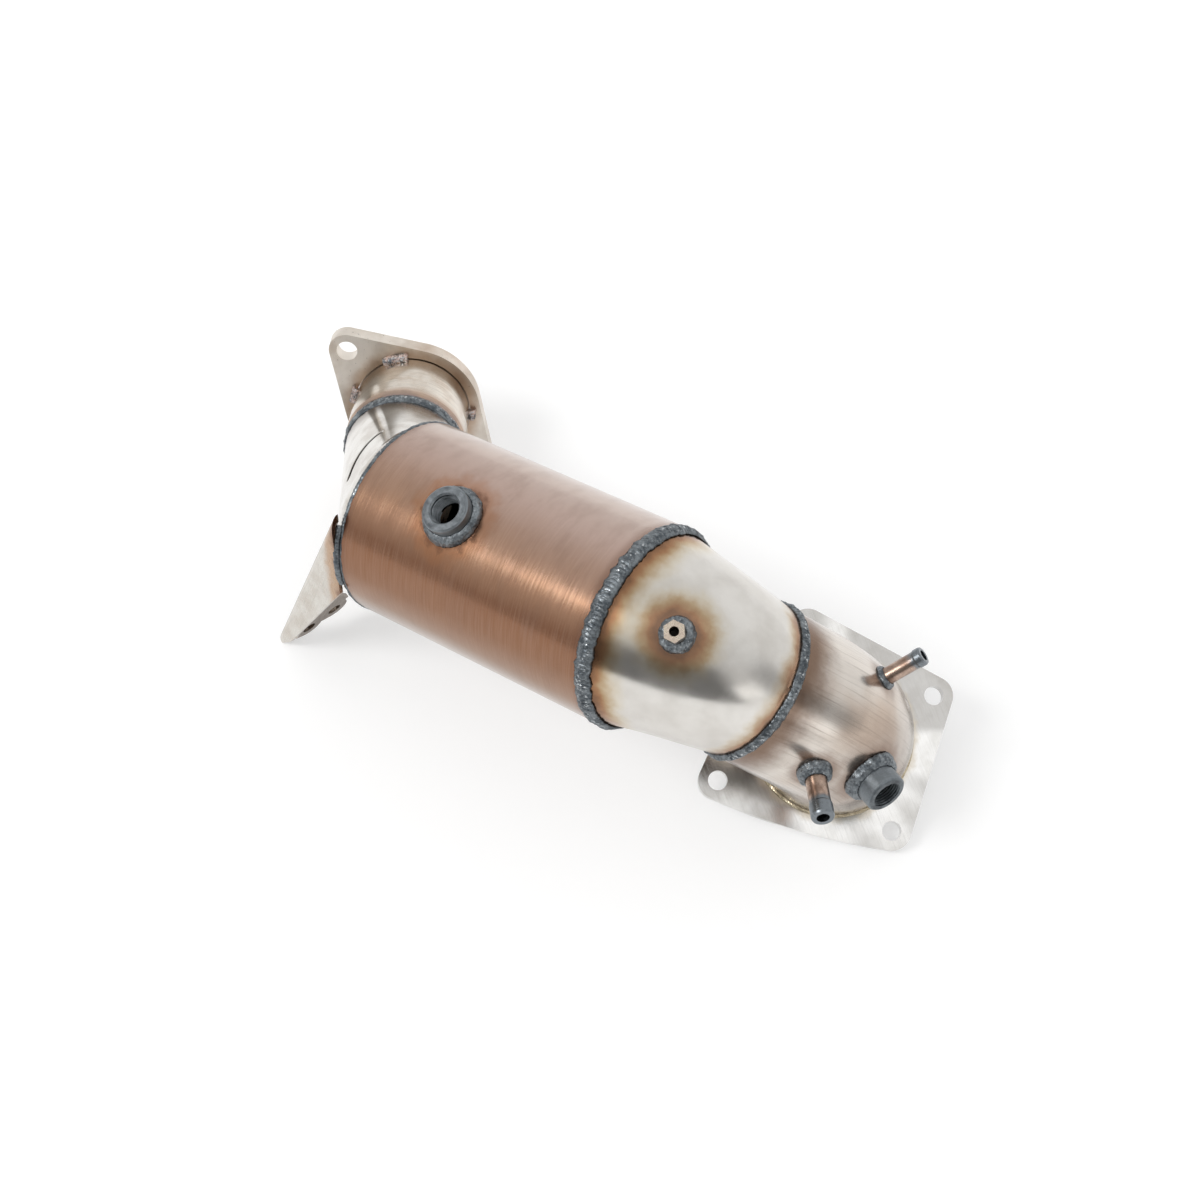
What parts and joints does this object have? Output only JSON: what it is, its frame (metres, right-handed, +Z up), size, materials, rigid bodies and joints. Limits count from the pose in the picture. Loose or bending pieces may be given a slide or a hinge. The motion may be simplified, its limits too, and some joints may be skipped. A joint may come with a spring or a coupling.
{
  "type": "exhaust downpipe with catalytic converter",
  "caption": "Exhaust downpipe: kite-shaped inlet flange, tight elbow and bent cone into a round converter can, then an offset rear cone, collar and two-eared outlet flange.",
  "frame": {"origin": "centre of the part's box on the surface it rests on", "axes": "+Z up from that surface, +X level along the can from its outlet end to its inlet end, +Y across; the part lies on a corner of the inlet flange, an ear of the outlet flange and the tip of the bracket"},
  "size_m": [0.4494, 0.1902, 0.1881],
  "materials": {
    "satin_plate": "satin stainless plate",
    "tinted_plate": "satin stainless plate with a beige heat tint",
    "satin_sheet": "satin stainless sheet, browned at its weld",
    "tinted_can": "brushed stainless with a copper-brown heat tint",
    "support_mat": "white mineral fibre mat",
    "honeycomb": "matt beige ceramic honeycomb",
    "satin_cone": "satin stainless with gold and brown tints beside the welds",
    "satin_pipe": "satin stainless with brownish clouds",
    "burnt_boss": "dark blue-grey heat-darkened steel",
    "tinted_stub": "copper-tinted stainless with grey ends",
    "fine_weld": "fine gold-grey weld",
    "weld": "rippled blue-grey weld bead"
  },
  "bodies": {
    "root": {"inlet_flange": "satin_plate", "inlet_flange_weld": "fine_weld", "inlet_elbow": "satin_pipe", "elbow_weld": "weld", "inlet_cone": "satin_cone", "front_weld": "weld", "can_shell": "tinted_can", "support_mat": "support_mat", "catalyst_core": "honeycomb", "rear_weld": "weld", "rear_cone": "satin_cone", "outlet_weld": "weld", "outlet_collar": "satin_pipe", "outlet_flange": "tinted_plate", "outlet_tacks": "weld", "can_bung": "burnt_boss", "can_bung_weld": "weld", "elbow_bung": "burnt_boss", "elbow_bung_weld": "weld", "cone_tap": "tinted_stub", "cone_tap_weld": "weld", "slim_stub": "tinted_stub", "slim_stub_weld": "weld", "stout_stub": "tinted_stub", "stout_stub_weld": "weld", "hanger_bracket": "satin_sheet", "bracket_weld": "weld"}
  },
  "joints": []
}
